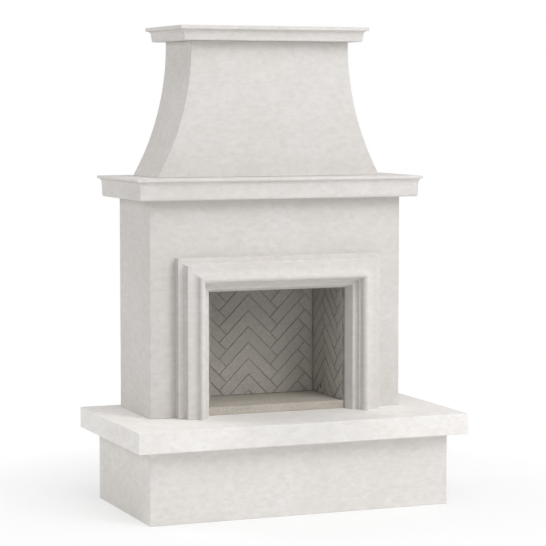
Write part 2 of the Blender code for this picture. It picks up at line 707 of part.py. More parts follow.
def damper(pivot, iron, steel):
    """The moving body: blade with its barrel, shaft, end collars, cross pins and pull lever."""
    half_x = DAMPER_PORT_HALF_WIDTH - BLADE_EDGE_GAP
    half_y = DAMPER_PORT_HALF_DEPTH - BLADE_EDGE_GAP
    reach = THROAT_HALF_WIDTH + SHAFT_OVERHANG
    blade = box("damper_blade", (-half_x, FLUE_Y - half_y, BLADE_Z),
                (half_x, FLUE_Y + half_y, BLADE_Z + BLADE_THICK), iron)
    barrel_x = half_x - BLADE_EDGE_GAP
    barrel = rod("blade_barrel", BLADE_BARREL_RADIUS, (-barrel_x, FLUE_Y, AXIS_Z), (barrel_x, FLUE_Y, AXIS_Z),
                 ROUND_FACETS, cutter=True)
    combine(blade, barrel, "UNION")
    shaft = rod("damper_shaft", DAMPER_SHAFT_RADIUS, (-reach, FLUE_Y, AXIS_Z), (reach, FLUE_Y, AXIS_Z),
                ROUND_FACETS, steel)
    bore = rod("shaft_bore", DAMPER_SHAFT_RADIUS + RUNNING_CLEARANCE, (-reach - OVERRUN, FLUE_Y, AXIS_Z),
               (reach + OVERRUN, FLUE_Y, AXIS_Z), ROUND_FACETS, cutter=True)
    combine(blade, bore)
    lever = pull_lever("damper_lever", iron)
    pad_middle = FLUE_Y - LEVER_SETBACK - LEVER_PAD_LENGTH / 2
    under = BLADE_Z - SEAT - LEVER_PAD_THICK
    lever_bolt = bolt("damper_lever_bolt", (LEVER_BOLT_X, pad_middle, under), (0, 0, 1),
                      LEVER_PAD_THICK + SEAT, BLADE_THICK + SEAT, steel, [lever, blade])
    moving = [blade, shaft, lever, lever_bolt]
    for word, side in (("left", -1), ("right", 1)):
        x = side * (DAMPER_PORT_HALF_WIDTH - PIN_INSET)
        low = Vector((x, FLUE_Y, AXIS_Z - BLADE_BARREL_RADIUS))
        high = Vector((x, FLUE_Y, AXIS_Z + BLADE_BARREL_RADIUS))
        past = Vector((0.0, 0.0, OVERRUN))
        pin_hole = rod("pin_hole_" + word, PIN_RADIUS + SEAT, low - past, high + past, BOLT_FACETS, cutter=True)
        combine(blade, pin_hole)
        combine(shaft, pin_hole)
        moving.append(rod("damper_pin_" + word, PIN_RADIUS, low, high, BOLT_FACETS, steel))
        start = side * (THROAT_HALF_WIDTH + SEAT)
        collar = rod("damper_collar_" + word, COLLAR_RADIUS, (start, FLUE_Y, AXIS_Z),
                     (start + side * COLLAR_THICK, FLUE_Y, AXIS_Z), BORE_FACETS, steel)
        combine(collar, bore)
        moving.append(collar)
    for obj in moving:
        obj.parent = pivot
        obj.matrix_parent_inverse = pivot.matrix_world.inverted()
    return moving


def pull_lever(name, material):
    """Flat foot under the blade with an arm that reaches down to an eye inside the dome."""
    far = FLUE_Y - LEVER_SETBACK
    near = far - LEVER_PAD_LENGTH
    top = BLADE_Z - SEAT
    left = -LEVER_ARM_WIDTH / 2
    foot = box(name, (left, near, top - LEVER_PAD_THICK), (left + LEVER_PAD_WIDTH, far, top), material)
    root = Vector(((near + far) / 2, top - LEVER_PAD_THICK / 2))
    eye = Vector((root.x - LEVER_REACH_OUT, top - LEVER_REACH_DOWN))
    run = (eye - root).normalized()
    across = Vector((-run.y, run.x)) * LEVER_ARM_DEPTH / 2
    facing = math.atan2(-run.y, -run.x)
    half_turn = math.asin(LEVER_ARM_DEPTH / 2 / LEVER_EYE_RADIUS)
    sweep = math.tau - 2 * half_turn
    edges = (eye + across, eye - across)
    shape = [tuple(edge + run * ((root.y - edge.y) / run.y)) for edge in edges]
    for i in range(SMALL_FACETS + 1):
        angle = facing + half_turn + sweep * i / SMALL_FACETS
        shape.append(tuple(eye + Vector((math.cos(angle), math.sin(angle))) * LEVER_EYE_RADIUS))
    lie = Matrix(((0, 0, 1, 0), (1, 0, 0, 0), (0, 1, 0, 0), (0, 0, 0, 1)))
    arm = outline_solid(name + "_arm", [shape], LEVER_ARM_WIDTH / 2, lie, cutter=True)
    combine(foot, arm, "UNION")
    hole = rod(name + "_hole", LEVER_EYE_HOLE, (-OVERRUN, eye.x, eye.y), (OVERRUN, eye.x, eye.y),
               SMALL_FACETS, cutter=True)
    combine(foot, hole)
    return foot


def rectangle_points(half_x, half_y, z):
    """Points round a rectangle about the flue's axis, an equal number on each side."""
    corners = [(half_x, -half_y), (half_x, half_y), (-half_x, half_y), (-half_x, -half_y)]
    steps = ROUND_FACETS // 4
    points = []
    for i, corner in enumerate(corners):
        following = corners[(i + 1) % 4]
        for step in range(steps):
            share = step / steps
            x = corner[0] + (following[0] - corner[0]) * share
            y = corner[1] + (following[1] - corner[1]) * share
            points.append((x, FLUE_Y + y, z))
    return points


def circle_points(radius, z):
    """Points round the flue's axis that pair with those of a rectangle."""
    points = []
    for i in range(ROUND_FACETS):
        angle = math.tau * i / ROUND_FACETS - math.pi / 4
        points.append((radius * math.cos(angle), FLUE_Y + radius * math.sin(angle), z))
    return points


def flue_transition(name, material):
    """Sheet hood from the oblong damper frame up to the round neck that the flue fits over."""
    sheet = TRANSITION_SHEET
    top = NECK_Z + NECK_RISE
    inner_x = THROAT_HALF_WIDTH - sheet
    inner_y = THROAT_HALF_DEPTH - sheet
    collar = TRANSITION_Z + HOOD_COLLAR
    rings = [rectangle_points(THROAT_HALF_WIDTH, THROAT_HALF_DEPTH, TRANSITION_Z),
             rectangle_points(THROAT_HALF_WIDTH, THROAT_HALF_DEPTH, collar),
             circle_points(NECK_RADIUS, NECK_Z),
             circle_points(NECK_RADIUS, top),
             circle_points(NECK_RADIUS - sheet, top),
             circle_points(NECK_RADIUS - sheet, NECK_Z),
             rectangle_points(inner_x, inner_y, collar),
             rectangle_points(inner_x, inner_y, TRANSITION_Z)]
    return loft(name, rings, material, closed=True)


def tube(name, outer, inner, low, high, material=None, cutter=False):
    """A round tube about the flue's axis."""
    profile = [(outer, high), (outer, low), (inner, low), (inner, high)]
    return turned(name, profile, (0.0, FLUE_Y, 0.0), ROUND_FACETS, material, cutter)


def flue_spacer(name, material):
    """Ring round the flue with four arms that hold it in the middle of the stack."""
    middle = CHIMNEY_TOP_Z - SPACER_DROP
    low = middle - SPACER_HEIGHT / 2
    high = middle + SPACER_HEIGHT / 2
    reach_x = chimney_half_width(high - CHIMNEY_Z) - CAST_WALL - SEAT
    reach_y = CHIMNEY_DEPTH / 2 - CAST_WALL - SEAT
    ring_in = FLUE_RADIUS + SEAT
    spacer = box(name, (-reach_x, FLUE_Y - SPACER_ARM / 2, low), (reach_x, FLUE_Y + SPACER_ARM / 2, high),
                 material)
    cross = box(name + "_cross", (-SPACER_ARM / 2, FLUE_Y - reach_y, low),
                (SPACER_ARM / 2, FLUE_Y + reach_y, high), cutter=True)
    combine(spacer, cross, "UNION")
    hub = rod(name + "_hub", ring_in + SPACER_SHEET, (0.0, FLUE_Y, low), (0.0, FLUE_Y, high), ROUND_FACETS,
              cutter=True)
    combine(spacer, hub, "UNION")
    hole = rod(name + "_hole", ring_in, (0.0, FLUE_Y, low - OVERRUN), (0.0, FLUE_Y, high + OVERRUN),
               ROUND_FACETS, cutter=True)
    combine(spacer, hole)
    return spacer


def spark_screen(name, material):
    """Round rim with two layers of bars across it, set flush in the cap."""
    outer = CAP_RECESS_RADIUS - SEAT
    middle = SCREEN_Z + SCREEN_HEIGHT / 2
    rim = tube(name, outer, outer - SCREEN_RIM, SCREEN_Z, SCREEN_Z + SCREEN_HEIGHT, material)
    span = outer - SCREEN_RIM / 2
    half = SCREEN_BAR / 2
    count = int((outer - SCREEN_RIM) / SCREEN_PITCH)
    bm = bmesh.new()
    for layer in (0, 1):
        for i in range(-count, count + 1):
            offset = i * SCREEN_PITCH
            reach = math.sqrt(span ** 2 - offset ** 2)
            size = (2 * reach, SCREEN_BAR, SCREEN_BAR) if layer else (SCREEN_BAR, 2 * reach, SCREEN_BAR)
            place = (0.0, offset, half / 2) if layer else (offset, 0.0, -half / 2)
            centre = Vector((0.0, FLUE_Y, middle)) + Vector(place)
            shape = Matrix.Translation(centre) @ Matrix.Diagonal((*size, 1.0))
            bmesh.ops.create_cube(bm, size=1.0, matrix=shape)
    bars = add_object(name + "_bars", finish_mesh(name + "_bars", bm), cutter=True)
    union = rim.modifiers.new("bars", "BOOLEAN")
    union.operation = "UNION"
    union.object = bars
    union.solver = "EXACT"
    union.use_self = True
    return rim


def bolt(name, point, into, grip, bite, material, holders):
    """A hexagon-headed bolt from a point on a face along a direction, and its holes."""
    into = Vector(into)
    seat = Vector(point) - into * SEAT
    tip = Vector(point) + into * (grip + bite)
    head = rod(name, BOLT_HEAD_RADIUS, seat - into * BOLT_HEAD_THICK, seat, 6, material)
    shank = rod(name + "_shank", BOLT_RADIUS, seat - into * BOLT_HEAD_THICK / 2, tip, BOLT_FACETS, cutter=True)
    combine(head, shank, "UNION")
    hole = rod(name + "_hole", BOLT_RADIUS + SEAT, seat, tip + into * SEAT, BOLT_FACETS, cutter=True)
    for holder in holders:
        combine(holder, hole)
    return head


def bracket(name, corner, first, second, material):
    """A steel angle lying in a corner: one leg runs along first, the other along second."""
    leg = BRACKET_LEG
    thick = BRACKET_THICK
    shape = [(0.0, 0.0), (leg, 0.0), (leg, thick), (thick, thick), (thick, leg), (0.0, leg)]
    first = Vector(first)
    second = Vector(second)
    turn = Matrix((first, second, first.cross(second))).transposed().to_4x4()
    return outline_solid(name, [shape], BRACKET_LENGTH / 2, Matrix.Translation(corner) @ turn, material)


def cleat(name, corner, first, second, steel, lower, upper):
    """An angle in the corner of two modules, with a bolt through each leg."""
    angle = bracket(name + "_bracket", corner, first, second, steel)
    along = (BRACKET_LEG + BRACKET_THICK) / 2
    first = Vector(first)
    second = Vector(second)
    flat = Vector(corner) + first * along + second * BRACKET_THICK
    bolt(name + "_bolt_flat", flat, -second, BRACKET_THICK + SEAT, BOLT_BITE, steel, [angle, lower])
    wall = Vector(corner) + second * along + first * BRACKET_THICK
    bolt(name + "_bolt_wall", wall, -first, BRACKET_THICK + SEAT, BOLT_BITE, steel, [angle, upper])


def hearth_base(concrete, bearer_mix):
    shell = box("hearth_base_shell", (-PLINTH_HALF_WIDTH, PLINTH_FRONT_Y, 0.0),
                (PLINTH_HALF_WIDTH, BACK_Y, PLINTH_HEIGHT), concrete)
    round_arrises(shell)
    inner_x = PLINTH_HALF_WIDTH - PLINTH_WALL
    inner_front = PLINTH_FRONT_Y + PLINTH_WALL
    inner_back = BACK_Y - PLINTH_WALL
    combine(shell, box("base_hollow", (-inner_x, inner_front, -OVERRUN),
                       (inner_x, inner_back, PLINTH_HEIGHT + OVERRUN), cutter=True))

    slab_half = PLINTH_HALF_WIDTH + SLAB_OVER_SIDE
    slab = box("hearth_slab", (-slab_half, PLINTH_FRONT_Y - SLAB_OVER_FRONT, SLAB_Z),
               (slab_half, BACK_Y + SLAB_OVER_BACK, HEARTH_Z), concrete)
    round_arrises(slab)
    combine(slab, box("slab_hollow", (-PLINTH_HALF_WIDTH + SLAB_RIM, PLINTH_FRONT_Y + SLAB_RIM, SLAB_Z - OVERRUN),
                      (PLINTH_HALF_WIDTH - SLAB_RIM, BACK_Y - SLAB_RIM, HEARTH_Z - SLAB_SKIN), cutter=True))

    middle = PANEL_OUT - BEARER_THICK / 2
    for name, side in (("hearth_bearer_left", -1), ("hearth_bearer_right", 1)):
        near = side * middle - BEARER_THICK / 2
        box(name, (near, PLINTH_FRONT_Y + SLAB_RIM + SEAT, 0.0),
            (near + BEARER_THICK, BACK_Y - SLAB_RIM - SEAT, HEARTH_Z - SLAB_SKIN - SEAT), bearer_mix)
    return slab


def body(concrete):
    shell = box("body_shell", (-BODY_HALF_WIDTH, BODY_FRONT_Y, BODY_Z), (BODY_HALF_WIDTH, BACK_Y, BODY_TOP_Z),
                concrete)
    round_arrises(shell)
    inner_x = BODY_HALF_WIDTH - CAST_WALL
    combine(shell, box("body_hollow", (-inner_x, WALL_BACK_Y, BODY_Z - OVERRUN),
                       (inner_x, BACK_Y - CAST_WALL, BODY_TOP_Z + OVERRUN), cutter=True))
    combine(shell, box("body_opening", (-OPENING_HALF, BODY_FRONT_Y - OVERRUN, BODY_Z - OVERRUN),
                       (OPENING_HALF, WALL_BACK_Y + OVERRUN, OPENING_TOP_Z), cutter=True))
    return shell


def mantel(concrete):
    profile = cornice_profile(MANTEL_HEIGHT, MANTEL_OVER, MANTEL_TOE, MANTEL_TOE_RISE, MANTEL_FACE,
                              MANTEL_NECK, MANTEL_COVE_FOOT, MANTEL_COVE_OUT, MANTEL_FILLET, MANTEL_ROUND)
    shelf = cornice("mantel_shelf", BODY_HALF_WIDTH, BODY_FRONT_Y, BACK_Y, MANTEL_Z, profile, concrete)
    combine(shelf, box("mantel_hollow", (-BODY_HALF_WIDTH + MANTEL_RIM, BODY_FRONT_Y + MANTEL_RIM,
                                         MANTEL_Z - OVERRUN),
                       (BODY_HALF_WIDTH - MANTEL_RIM, BACK_Y - MANTEL_RIM, MANTEL_TOP_Z - MANTEL_PLATE),
                       cutter=True))
    combine(shelf, rod("mantel_port", FLUE_PORT_RADIUS, (0.0, FLUE_Y, MANTEL_Z),
                       (0.0, FLUE_Y, MANTEL_TOP_Z + OVERRUN), ROUND_FACETS, cutter=True))
    return shelf


def chimney(concrete):
    """Stack flared at both sides only; its front and back faces are plumb."""
    middle = CHIMNEY_FRONT_Y + CHIMNEY_DEPTH / 2
    stack = outline_solid("chimney_shell", [chimney_outline(0.0, 0.0)], CHIMNEY_DEPTH / 2,
                          upright(middle, CHIMNEY_Z), concrete)
    round_arrises(stack)
    hollow = outline_solid("chimney_hollow", [chimney_outline(CAST_WALL, OVERRUN)],
                           CHIMNEY_DEPTH / 2 - CAST_WALL, upright(middle, CHIMNEY_Z), cutter=True)
    combine(stack, hollow)
    return stack


def chimney_cap(concrete):
    profile = cornice_profile(CAP_HEIGHT, CAP_OVER, CAP_TOE, CAP_TOE_RISE, CAP_FACE, CAP_NECK,
                              CAP_COVE_FOOT, CAP_COVE_OUT, CAP_FILLET, CAP_ROUND)
    cap = cornice("chimney_cap", CHIMNEY_TOP_HALF, CHIMNEY_FRONT_Y, BACK_Y, CAP_Z, profile, concrete)
    combine(cap, box("cap_hollow", (-CHIMNEY_TOP_HALF + CAP_RIM, CHIMNEY_FRONT_Y + CAP_RIM, CAP_Z - OVERRUN),
                     (CHIMNEY_TOP_HALF - CAP_RIM, BACK_Y - CAP_RIM, CAP_TOP_Z - CAP_PLATE), cutter=True))
    combine(cap, rod("cap_port", FLUE_RADIUS + CAP_PORT_CLEARANCE, (0.0, FLUE_Y, CAP_Z),
                     (0.0, FLUE_Y, CAP_TOP_Z + OVERRUN), ROUND_FACETS, cutter=True))
    combine(cap, rod("cap_recess", CAP_RECESS_RADIUS, (0.0, FLUE_Y, CAP_TOP_Z - CAP_RECESS),
                     (0.0, FLUE_Y, CAP_TOP_Z + OVERRUN), ROUND_FACETS, cutter=True))
    return cap


def surround(concrete):
    surround_leg("surround_left_jamb", -1, concrete)
    surround_leg("surround_right_jamb", 1, concrete)
    surround_head("surround_head", concrete)


def firebox(refractory, board, steel, shell):
    firebox_floor("firebox_floor", refractory)
    back_wall("firebox_back_wall", refractory)
    side_wall("firebox_left_wall", -1, refractory)
    right = side_wall("firebox_right_wall", 1, refractory)
    jacket = casing("firebox_casing", steel)
    insulation = insulation_boards(board)

    y = FIREBOX_BACK_Y - GAS_SETBACK
    z = PANEL_Z + GAS_RISE
    low = FIREBOX_HALF_WIDTH + JOINT_DEPTH + GAS_RECESS
    high = CASING_OUT + GAS_TAIL
    outer = GAS_HOLE_RADIUS + GAS_SLEEVE_WALL
    sleeve = rod("gas_sleeve", outer, (low, y, z), (high, y, z), BORE_FACETS, steel)
    combine(sleeve, rod("gas_bore", GAS_HOLE_RADIUS, (low - OVERRUN, y, z), (high + OVERRUN, y, z),
                        BORE_FACETS, cutter=True))
    passage = rod("gas_passage", outer + SEAT, (low - OVERRUN, y, z), (high + OVERRUN, y, z), BORE_FACETS,
                  cutter=True)
    for holder in (right, insulation[1], jacket):
        combine(holder, passage)

    angle = lintel("lintel_angle", steel)
    reach = FIREBOX_HALF_WIDTH - LINTEL_BOLT_INSET
    level = PANEL_TOP_Z - (LINTEL_LEG + LINTEL_THICK) / 2
    face = WALL_BACK_Y + SEAT + LINTEL_THICK
    for name, x in (("lintel_bolt_left", -reach), ("lintel_bolt_right", reach)):
        bolt(name, (x, face, level), (0, -1, 0), LINTEL_THICK + SEAT, BOLT_BITE, steel, [angle, shell])


def flue(stainless, steel):
    flue_transition("flue_transition", stainless)
    inner = FLUE_RADIUS - FLUE_SHEET
    tube("flue_pipe_lower", FLUE_RADIUS, inner, NECK_Z + SEAT, FLUE_JOINT_Z, stainless)
    tube("flue_pipe_upper", FLUE_RADIUS, inner, FLUE_JOINT_Z + SEAT, FLUE_TOP_Z, stainless)
    band_in = FLUE_RADIUS + SEAT
    tube("flue_locking_band", band_in + BAND_SHEET, band_in, FLUE_JOINT_Z - BAND_HEIGHT / 2,
         FLUE_JOINT_Z + BAND_HEIGHT / 2, steel)
    flue_spacer("flue_spacer", steel)
    tube("flue_top_flange", CAP_RECESS_RADIUS - SEAT, FLUE_RADIUS + SEAT, FLANGE_Z, FLUE_TOP_Z, stainless)
    spark_screen("spark_screen", stainless)


def fixings(steel, slab, shell, shelf, stack):
    """Cleats inside the modules, where each one stands on the next."""
    wall_x = BODY_HALF_WIDTH - CAST_WALL - SEAT
    middle_y = (BODY_FRONT_Y + BACK_Y) / 2
    front_y = CHIMNEY_FRONT_Y + CAST_WALL + SEAT
    for word, side in (("left", -1), ("right", 1)):
        inward = (-side, 0, 0)
        cleat("body_foot_" + word, (side * wall_x, middle_y, BODY_Z), inward, (0, 0, 1), steel, slab, shell)
        cleat("mantel_" + word, (side * wall_x, middle_y, BODY_TOP_Z), inward, (0, 0, -1), steel, shelf, shell)
        cleat("chimney_foot_" + word, (side * CHIMNEY_BRACKET_X, front_y, CHIMNEY_Z), (0, 1, 0), (0, 0, 1),
              steel, shelf, stack)


clear_scene()
PARTS = new_collection("outdoor_fireplace")
CUTTERS = new_collection("cutters")


def main():
    concrete = new_material("cast_concrete", (0.78, 0.76, 0.72), 0.85)
    bearer_mix = new_material("bearer_concrete", (0.55, 0.54, 0.51), 0.9)
    refractory = new_material("refractory", (0.42, 0.39, 0.35), 0.95)
    board = new_material("insulation_board", (0.82, 0.80, 0.74), 0.95)
    steel = new_material("galvanised_steel", (0.55, 0.56, 0.57), 0.45, 1.0)
    stainless = new_material("stainless_steel", (0.62, 0.62, 0.62), 0.3, 1.0)
    iron = new_material("cast_iron", (0.06, 0.06, 0.065), 0.6, 1.0)

    slab = hearth_base(concrete, bearer_mix)
    shell = body(concrete)
    shelf = mantel(concrete)
    stack = chimney(concrete)
    chimney_cap(concrete)
    surround(concrete)
    firebox(refractory, board, steel, shell)
    smoke_dome("smoke_dome", steel)
    damper_frame("damper_frame", iron)
    pivot = bpy.data.objects.new("damper_pivot", None)
    PARTS.objects.link(pivot)
    pivot.location = (0.0, FLUE_Y, AXIS_Z)
    damper(pivot, iron, steel)
    flue(stainless, steel)
    fixings(steel, slab, shell, shelf, stack)
    bpy.context.view_layer.update()


main()
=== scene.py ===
import math
import random

import bmesh
import bpy
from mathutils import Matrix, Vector


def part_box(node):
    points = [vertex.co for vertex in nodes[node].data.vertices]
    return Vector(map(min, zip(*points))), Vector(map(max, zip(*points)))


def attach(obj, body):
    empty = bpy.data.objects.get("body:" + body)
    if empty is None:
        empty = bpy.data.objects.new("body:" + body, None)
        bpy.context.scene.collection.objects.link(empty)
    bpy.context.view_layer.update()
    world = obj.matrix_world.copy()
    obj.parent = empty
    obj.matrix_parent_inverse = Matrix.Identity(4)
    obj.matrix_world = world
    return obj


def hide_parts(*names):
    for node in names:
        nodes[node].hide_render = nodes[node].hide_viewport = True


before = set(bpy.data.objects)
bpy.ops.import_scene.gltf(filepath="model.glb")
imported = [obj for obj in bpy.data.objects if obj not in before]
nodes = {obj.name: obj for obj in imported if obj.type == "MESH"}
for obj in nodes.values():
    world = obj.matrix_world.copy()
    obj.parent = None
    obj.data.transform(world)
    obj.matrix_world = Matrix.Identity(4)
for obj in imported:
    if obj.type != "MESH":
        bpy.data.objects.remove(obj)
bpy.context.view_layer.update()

# View: a long lens well to the left of the fireplace and higher than its mantel, looking slightly
# down, so that the front, the left side and the top of the slab are seen.
camera = bpy.data.cameras.new("viewpoint")
camera.sensor_width = 36.0
camera.lens = 140.5
view_pitch = math.radians(85.35)
view_turn = math.radians(-21.96)
viewpoint = bpy.data.objects.new("viewpoint", camera)
bpy.context.scene.collection.objects.link(viewpoint)
viewpoint.location = (-4.431, -11.014, 2.252)
viewpoint.rotation_euler = (view_pitch, 0.0, view_turn)
bpy.context.scene.camera = viewpoint
bpy.context.scene.view_settings.view_transform = "Standard"


# Hearth base: a hollow plinth with a thick slab set on it, both cast in glass-fibre concrete with a
# fine sanded face, off-white and faintly clouded. The slab's paler tone is painted light on the same
# concrete.
def fill(tree, node, sockets):
    """Links each socket to what feeds it, or sets it to a plain value."""
    for socket, value in sockets.items():
        if isinstance(value, bpy.types.NodeSocket):
            tree.links.new(value, node.inputs[socket])
        else:
            node.inputs[socket].default_value = value


def wire(tree, kind, sockets=None, **settings):
    """Adds a shader node, sets its options and fills its sockets."""
    node = tree.nodes.new("ShaderNode" + kind)
    for option, value in settings.items():
        setattr(node, option, value)
    fill(tree, node, sockets or {})
    return node


def blank(name):
    """A new material, with its tree, its shader and the place of each point on the object."""
    material = bpy.data.materials.new(name)
    material.use_nodes = True
    tree = material.node_tree
    shader = tree.nodes["Principled BSDF"]
    place = wire(tree, "TexCoord").outputs["Object"]
    return material, tree, shader, place


def noise(tree, place, scale, detail=3.0, roughness=0.5, twist=0.0):
    sockets = {"Vector": place, "Scale": scale, "Detail": detail, "Roughness": roughness,
               "Distortion": twist}
    return wire(tree, "TexNoise", sockets).outputs["Fac"]


def spread(tree, value, start, end, to_start=0.0, to_end=1.0):
    """Stretches a value's range from start to end over another range, and holds it at both ends."""
    sockets = {"Value": value, "From Min": start, "From Max": end, "To Min": to_start,
               "To Max": to_end}
    return wire(tree, "MapRange", sockets).outputs["Result"]


def calc(tree, operation, first, second=0.0, clamp=False):
    sockets = {0: first, 1: second}
    return wire(tree, "Math", sockets, operation=operation, use_clamp=clamp).outputs[0]


def blend_colours(tree, share, first, second):
    """Mixes two colours, each a socket or three numbers. The mixer's sockets go by number."""
    ends = [end if isinstance(end, bpy.types.NodeSocket) else (*end, 1.0) for end in (first, second)]
    return wire(tree, "Mix", {0: share, 6: ends[0], 7: ends[1]}, data_type="RGBA").outputs[2]


def stain(tree, tone, colour, pattern, start, end, share=1.0):
    """Lays a colour over the tone, from nothing where the pattern is at start to its share at end."""
    return blend_colours(tree, spread(tree, pattern, start, end, 0.0, share), tone, colour)


def shade(colour, factor, lightest=1.0):
    return tuple(min(part * factor, lightest) for part in colour)


def tinge(colour, factors):
    return tuple(part * factor for part, factor in zip(colour, factors))


def relief(tree, height, strength, depth):
    sockets = {"Height": height, "Strength": strength, "Distance": depth}
    return wire(tree, "Bump", sockets).outputs["Normal"]


def cast_concrete(name, colour, offset):
    """Sanded concrete: broad faint clouds, wispy trowel mottling, sand grain and a few blow holes,
    darkened with painted shade.
    """
    material, tree, shader, place = blank(name)
    shifted = wire(tree, "Mapping", {"Vector": place, "Location": offset}).outputs["Vector"]
    drawn = wire(tree, "Mapping", {"Vector": shifted, "Scale": (1.0, 1.0, 1.9)}).outputs["Vector"]
    clouds = noise(tree, shifted, scale=2.6, detail=4.0, roughness=0.6)
    wisps = noise(tree, drawn, scale=20.0, detail=6.0, roughness=0.62, twist=0.4)
    smears = noise(tree, drawn, scale=5.5, detail=5.0, roughness=0.65, twist=0.3)
    flecks = noise(tree, drawn, scale=75.0, roughness=0.6, twist=0.5)
    sand = noise(tree, shifted, scale=260.0, roughness=0.6)
    cells = wire(tree, "TexVoronoi", {"Vector": shifted, "Scale": 46.0}, feature="F1")
    some_cells = spread(tree, noise(tree, shifted, scale=7.0, detail=2.0), 0.52, 0.60)
    pits = spread(tree, cells.outputs["Distance"], 0.085, 0.05)
    holes = calc(tree, "MULTIPLY", pits, some_cells, clamp=True)

    warm = tinge(colour, (0.968, 0.952, 0.947))
    pale = tinge(colour, (1.018, 1.014, 1.03))
    tone = stain(tree, pale, warm, clouds, 0.36, 0.66)
    tone = stain(tree, tone, shade(colour, 0.86), wisps, 0.46, 0.70, share=0.61)
    tone = stain(tree, tone, shade(colour, 1.09, lightest=0.93), wisps, 0.46, 0.28, share=0.56)
    tone = stain(tree, tone, shade(colour, 0.9), smears, 0.46, 0.68, share=0.26)
    tone = stain(tree, tone, shade(colour, 0.84), flecks, 0.57, 0.76, share=0.52)
    tone = stain(tree, tone, shade(colour, 0.78), sand, 0.35, 0.70, share=0.16)
    # Painted shade inside the blow holes.
    tone = stain(tree, tone, shade(colour, 0.5), holes, 0.0, 1.0, share=0.5)

    sand_rise = calc(tree, "MULTIPLY", sand, 0.35)
    wisp_rise = calc(tree, "MULTIPLY", wisps, 1.4)
    fleck_rise = calc(tree, "MULTIPLY", flecks, 0.5)
    hole_drop = calc(tree, "MULTIPLY", holes, 0.9)
    height = calc(tree, "ADD", calc(tree, "ADD", sand_rise, wisp_rise), fleck_rise)
    height = calc(tree, "SUBTRACT", height, hole_drop)
    rough = spread(tree, wisps, 0.3, 0.7, to_start=0.80, to_end=0.94)
    bumps = relief(tree, height, strength=0.6, depth=0.0014)
    fill(tree, shader, {"Base Color": tone, "Roughness": rough, "Specular IOR Level": 0.35,
                        "Normal": bumps})
    return material


def dress(node, material):
    nodes[node].data.materials.clear()
    nodes[node].data.materials.append(material)


def paint_mouth_shade(material, middle, reach, share):
    """Painted shade: greys the concrete in front of the mouth, with a ragged edge."""
    # The grey of the painted shade in front of the mouth.
    mouth_shade_grey = (0.42, 0.41, 0.40)
    ragged = 0.12
    full_reach_share = 0.35
    tree = material.node_tree
    base = tree.nodes["Principled BSDF"].inputs["Base Color"]
    place = wire(tree, "TexCoord").outputs["Object"]
    away = wire(tree, "VectorMath", {0: place, 1: middle}, operation="DISTANCE").outputs["Value"]
    patches = noise(tree, place, scale=9.0, detail=4.0)
    away = calc(tree, "ADD", away, calc(tree, "MULTIPLY", patches, ragged))
    unshaded_tone = base.links[0].from_socket
    tree.links.new(stain(tree, unshaded_tone, mouth_shade_grey, away, reach, reach * full_reach_share, share), base)


# Painted light and shade: the concrete modules share one colour, each made lighter or darker for the
# light it gets.
plinth_concrete = cast_concrete("plinth_concrete", (0.792, 0.769, 0.736), (0.0, 0.0, 0.0))
# Painted light: the slab gets a paler copy of the same concrete colour.
slab_concrete_painted_light = cast_concrete("slab_concrete_painted_light", (0.893, 0.873, 0.84), (3.1, 0.7, 1.9))
dress("hearth_base_shell", plinth_concrete)
dress("hearth_slab", slab_concrete_painted_light)
slab_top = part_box("hearth_slab")[1][2]
before_mouth = (0.0, -0.42, slab_top)
# Painted shade on the slab's top in front of the mouth.
paint_mouth_shade(slab_concrete_painted_light, before_mouth, reach=0.62, share=0.22)
bearer_concrete = cast_concrete("bearer_concrete", (0.36, 0.345, 0.32), (7.3, 2.2, 0.4))
for side in ("left", "right"):
    dress("hearth_bearer_" + side, bearer_concrete)


# Body: one hollow casting with the mouth of the firebox in its front wall, set on the slab in a
# thin bed. It keeps the shape of its solid, and its face is the same sanded concrete.
# Painted shade: the body's concrete is the plinth's colour made darker.
body_concrete = cast_concrete("body_concrete", (0.693, 0.67, 0.64), (1.3, 4.4, 2.6))
dress("body_shell", body_concrete)


# Firebox floor: a raised slab of pinkish refractory whose front passes through the mouth as a lip,
# with a softly rounded front edge.
def refractory(name, colour, blush):
    """Dense, matt fire clay: grainy, with faint rosy patches where it has been fired harder."""
    material, tree, shader, place = blank(name)
    clouds = noise(tree, place, scale=5.0, detail=4.0, roughness=0.6)
    grit = noise(tree, place, scale=310.0, roughness=0.65)
    grains = noise(tree, place, scale=95.0, roughness=0.7)
    smear = noise(tree, place, scale=26.0, detail=5.0, roughness=0.6)

    tone = stain(tree, colour, shade(colour, 0.84), clouds, 0.35, 0.68)
    tone = stain(tree, tone, blush, smear, 0.52, 0.72, share=0.45)
    tone = stain(tree, tone, shade(colour, 0.68), grains, 0.50, 0.66, share=0.55)
    tone = stain(tree, tone, shade(colour, 1.25), grains, 0.48, 0.34, share=0.55)
    tone = stain(tree, tone, shade(colour, 0.62), grit, 0.42, 0.72, share=0.35)

    grit_rise = calc(tree, "MULTIPLY", grit, 0.6)
    rough = spread(tree, smear, 0.3, 0.7, to_start=0.86, to_end=0.97)
    bumps = relief(tree, calc(tree, "ADD", grit_rise, smear), strength=0.6, depth=0.0012)
    fill(tree, shader, {"Base Color": tone, "Roughness": rough, "Specular IOR Level": 0.25,
                        "Normal": bumps})
    return material, tree, shader, place, tone


def merged_copy(node):
    """A CAD solid's mesh as one skin, its doubled corners joined and its flat faces whole again."""
    weld = 0.00002
    flat = math.radians(0.4)
    bm = bmesh.new()
    bm.from_mesh(nodes[node].data)
    bmesh.ops.remove_doubles(bm, verts=bm.verts, dist=weld)
    bmesh.ops.dissolve_limit(bm, angle_limit=flat, verts=bm.verts, edges=bm.edges)
    return bm


def round_over(bm, edges, width):
    bmesh.ops.bevel(bm, geom=edges, offset=width, segments=2, affect="EDGES", profile=0.5, material=-1)


